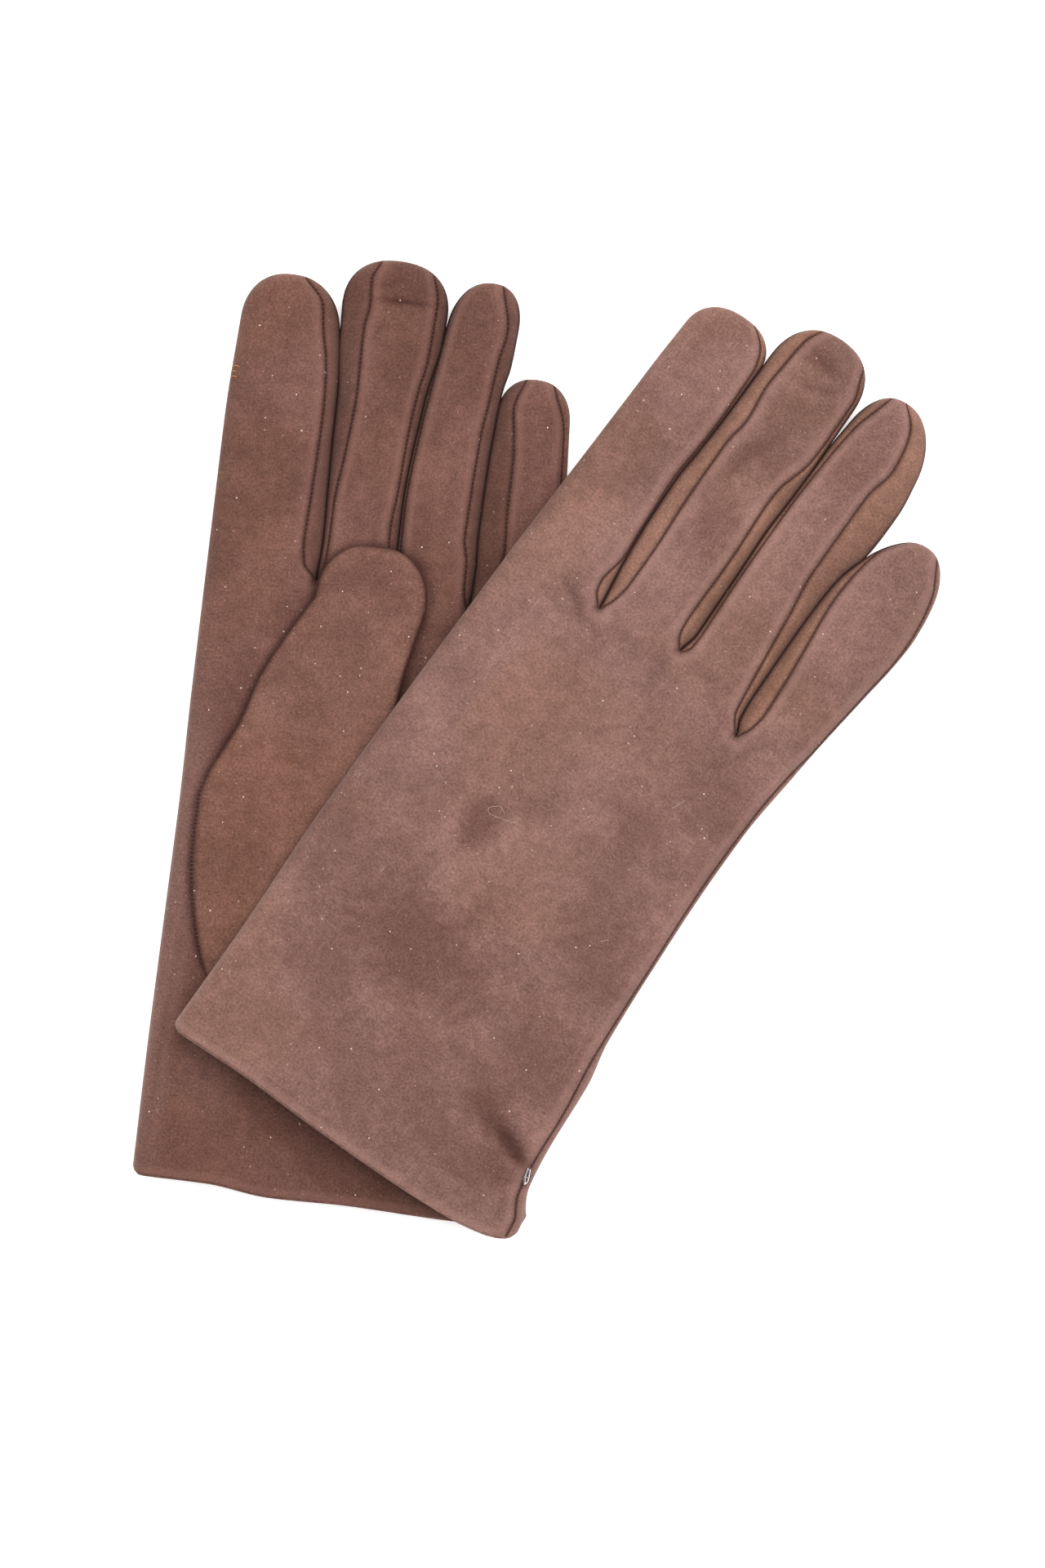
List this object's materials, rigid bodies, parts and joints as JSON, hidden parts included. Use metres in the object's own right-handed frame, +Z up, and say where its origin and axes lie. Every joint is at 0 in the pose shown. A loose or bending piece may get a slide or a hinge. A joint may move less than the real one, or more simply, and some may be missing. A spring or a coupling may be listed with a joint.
{
  "type": "pair of dress gloves",
  "caption": "Pair of lined suede dress gloves, one palm up and one back up, joined at the cuffs by a clear tack; fingers and thumbs bend.",
  "frame": {"origin": "centre of the pair's outline, at the level of the table it lies on", "axes": "+Z up; +Y towards the fingertips; +X to the right as the pair is seen from above with the fingertips away"},
  "size_m": [0.214, 0.2582, 0.023],
  "materials": {
    "suede": "red-brown suede with a soft nap",
    "thumb_suede": "slightly lighter suede",
    "strip_suede": "tan suede",
    "lining": "brown knitted lining",
    "tack_plastic": "clear nylon"
  },
  "bodies": {
    "left_glove": {"left_trank_hand": "suede", "left_lining_hand": "lining", "left_fourchette_index_to_middle_base": "strip_suede", "left_fourchette_middle_to_ring_base": "strip_suede", "left_fourchette_middle_to_index_base": "strip_suede", "left_fourchette_ring_to_little_base": "strip_suede", "left_fourchette_ring_to_middle_base": "strip_suede", "left_fourchette_little_to_ring_base": "strip_suede"},
    "left_index_end": {"left_trank_index_tip": "suede", "left_lining_index_tip": "lining", "left_fourchette_index_to_middle_tip": "strip_suede"},
    "left_middle_end": {"left_trank_middle_tip": "suede", "left_lining_middle_tip": "lining", "left_fourchette_middle_to_ring_tip": "strip_suede", "left_fourchette_middle_to_index_tip": "strip_suede"},
    "left_ring_end": {"left_trank_ring_tip": "suede", "left_lining_ring_tip": "lining", "left_fourchette_ring_to_little_tip": "strip_suede", "left_fourchette_ring_to_middle_tip": "strip_suede"},
    "left_little_end": {"left_trank_little_tip": "suede", "left_lining_little_tip": "lining", "left_fourchette_little_to_ring_tip": "strip_suede"},
    "left_thumb_end": {"left_thumb": "thumb_suede", "left_lining_thumb": "lining"},
    "right_glove": {"right_trank_hand": "suede", "right_lining_hand": "lining", "right_fourchette_index_to_middle_base": "strip_suede", "right_fourchette_middle_to_ring_base": "strip_suede", "right_fourchette_middle_to_index_base": "strip_suede", "right_fourchette_ring_to_little_base": "strip_suede", "right_fourchette_ring_to_middle_base": "strip_suede", "right_fourchette_little_to_ring_base": "strip_suede"},
    "right_index_end": {"right_trank_index_tip": "suede", "right_lining_index_tip": "lining", "right_fourchette_index_to_middle_tip": "strip_suede"},
    "right_middle_end": {"right_trank_middle_tip": "suede", "right_lining_middle_tip": "lining", "right_fourchette_middle_to_ring_tip": "strip_suede", "right_fourchette_middle_to_index_tip": "strip_suede"},
    "right_ring_end": {"right_trank_ring_tip": "suede", "right_lining_ring_tip": "lining", "right_fourchette_ring_to_little_tip": "strip_suede", "right_fourchette_ring_to_middle_tip": "strip_suede"},
    "right_little_end": {"right_trank_little_tip": "suede", "right_lining_little_tip": "lining", "right_fourchette_little_to_ring_tip": "strip_suede"},
    "right_thumb_end": {"right_thumb": "thumb_suede", "right_lining_thumb": "lining"},
    "tack": {"pair_tack": "tack_plastic"}
  },
  "joints": [
    {"name": "left_index_bend", "type": "hinge", "parent": "left_glove", "child": "left_index_end", "pos_m": [-0.06945, 0.0748, 0.009], "axis": [0.9914, -0.1305, 0], "range_deg": [0, 90], "stiffness_Nm_per_rad": 0.02},
    {"name": "left_middle_bend", "type": "hinge", "parent": "left_glove", "child": "left_middle_end", "pos_m": [-0.04355, 0.07139, 0.009], "axis": [0.9914, -0.1305, 0], "range_deg": [0, 90], "stiffness_Nm_per_rad": 0.02},
    {"name": "left_ring_bend", "type": "hinge", "parent": "left_glove", "child": "left_ring_end", "pos_m": [-0.02222, 0.06858, 0.009], "axis": [0.9914, -0.1305, 0], "range_deg": [0, 90], "stiffness_Nm_per_rad": 0.02},
    {"name": "left_little_bend", "type": "hinge", "parent": "left_glove", "child": "left_little_end", "pos_m": [-0.00151, 0.07342, 0.009], "axis": [0.9914, -0.1305, 0], "range_deg": [0, 90], "stiffness_Nm_per_rad": 0.02},
    {"name": "right_index_bend", "type": "hinge", "parent": "right_glove", "child": "right_index_end", "pos_m": [0.02466, 0.07307, 0.0193], "axis": [0.8241, -0.5664, 0], "range_deg": [0, 60], "stiffness_Nm_per_rad": 0.02},
    {"name": "right_middle_bend", "type": "hinge", "parent": "right_glove", "child": "right_middle_end", "pos_m": [0.04739, 0.06109, 0.0115], "axis": [0.8241, -0.5664, 0], "range_deg": [0, 60], "stiffness_Nm_per_rad": 0.02},
    {"name": "right_ring_bend", "type": "hinge", "parent": "right_glove", "child": "right_ring_end", "pos_m": [0.06565, 0.04247, 0.009], "axis": [0.8241, -0.5664, 0], "range_deg": [0, 60], "stiffness_Nm_per_rad": 0.02},
    {"name": "right_little_bend", "type": "hinge", "parent": "right_glove", "child": "right_little_end", "pos_m": [0.07849, 0.0203, 0.009], "axis": [0.8241, -0.5664, 0], "range_deg": [0, 60], "stiffness_Nm_per_rad": 0.02},
    {"name": "pair_fan", "type": "hinge", "parent": "left_glove", "child": "tack", "pos_m": [-0.00274, -0.11256, 0.0192], "axis": [0, 0, 1], "range_deg": [-30, 0]},
    {"name": "pair_lift", "type": "hinge", "parent": "tack", "child": "right_glove", "pos_m": [-0.00274, -0.11256, 0.0192], "axis": [0.5908, 0.8068, 0], "range_deg": [0, 75]},
    {"name": "left_thumb_swing", "type": "hinge", "parent": "left_glove", "child": "left_thumb_end", "pos_m": [-0.0917, -0.03322, 0.0076], "axis": [-0.1305, -0.9914, 0], "range_deg": [0, 60], "stiffness_Nm_per_rad": 0.02},
    {"name": "right_thumb_swing", "type": "hinge", "parent": "right_glove", "child": "right_thumb_end", "pos_m": [-0.04102, -0.00919, 0.0136], "axis": [0.5664, 0.8241, 0], "range_deg": [0, 45], "stiffness_Nm_per_rad": 0.02}
  ],
  "couplings": [
    {"joint": "left_thumb_swing", "follows": "pair_lift", "ratio": 0.8},
    {"joint": "right_thumb_swing", "follows": "pair_lift", "ratio": 0.6}
  ]
}
